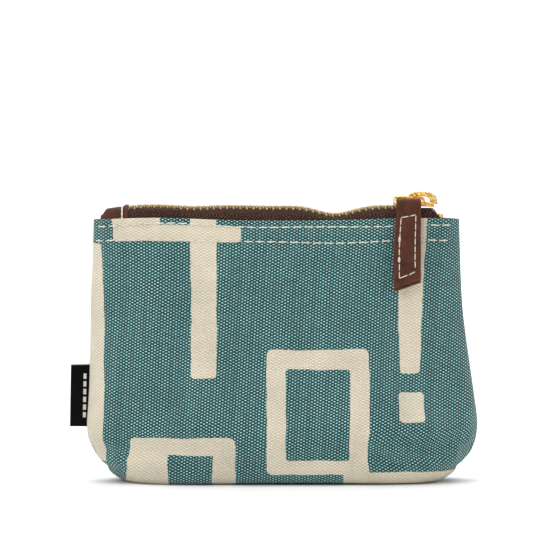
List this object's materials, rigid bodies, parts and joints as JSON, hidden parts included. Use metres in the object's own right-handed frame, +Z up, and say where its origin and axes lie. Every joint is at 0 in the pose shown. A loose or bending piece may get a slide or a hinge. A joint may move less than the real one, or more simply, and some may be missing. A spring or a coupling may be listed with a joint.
{
  "type": "zippered pouch",
  "caption": "Small zippered pouch of printed canvas with a boxed base, a woven side label, and a metal zipper pulled by a ring and a stitched leather strap.",
  "frame": {"origin": "centre of the base's underside, on the surface that the pouch stands on", "axes": "+X along the zipper towards its closed end with the slider, -Y the front, +Z up"},
  "size_m": [0.1554, 0.0436, 0.1113],
  "materials": {
    "canvas": "plain-woven cotton duck, muted teal with a large cream print",
    "lining": "light plain-woven cotton",
    "tape": "dark brown twill zipper tape",
    "teeth": "polished antique brass",
    "slider_metal": "bright gold plate",
    "leather": "brown, fine-grained, worn lighter along its edges",
    "thread": "off-white twisted sewing thread",
    "label": "black woven ribbon, no lettering"
  },
  "bodies": {
    "pouch": {"front_panel_ends": "canvas", "back_panel_ends": "canvas", "base_panel": "canvas", "base_lining": "lining", "lining_ends": "lining", "side_seams": "canvas", "zipper_tape_ends": "tape", "teeth_at_ends": "teeth", "topstitching_ends": "thread", "bottom_stop": "teeth", "top_stops": "teeth", "end_tab": "leather", "end_tab_stitch": "thread", "side_label": "label"},
    "front_wall": {"front_panel": "canvas", "front_lining": "lining", "front_zipper_tape": "tape", "front_teeth": "teeth", "front_topstitching": "thread"},
    "back_wall": {"back_panel": "canvas", "back_lining": "lining", "back_zipper_tape": "tape", "back_teeth": "teeth", "back_topstitching": "thread"},
    "slider": {"slider_body": "slider_metal", "slider_crown": "slider_metal"},
    "ring": {"pull_ring": "slider_metal"},
    "strap": {"pull_strap": "leather", "pull_strap_stitching": "thread"}
  },
  "joints": [
    {"name": "front_opening", "type": "hinge", "parent": "pouch", "child": "front_wall", "pos_m": [0, -0.0218, 0.0066], "axis": [1, 0, 0], "range_deg": [0, 10], "stiffness_Nm_per_rad": 0.3},
    {"name": "back_opening", "type": "hinge", "parent": "pouch", "child": "back_wall", "pos_m": [0, 0.0218, 0.0066], "axis": [-1, 0, 0], "range_deg": [0, 10], "stiffness_Nm_per_rad": 0.3},
    {"name": "zip", "type": "slide", "parent": "pouch", "child": "slider", "axis": [-1, 0, 0], "range_m": [0, 0.101]},
    {"name": "ring_flip", "type": "hinge", "parent": "slider", "child": "ring", "pos_m": [0.055, 0, 0.10855], "axis": [0, 0.9833, 0.1822], "range_deg": [0, 100]},
    {"name": "strap_swing", "type": "hinge", "parent": "ring", "child": "strap", "pos_m": [0.04945, -0.00737, 0.10718], "axis": [-1, 0, 0], "range_deg": [0, 180]}
  ]
}
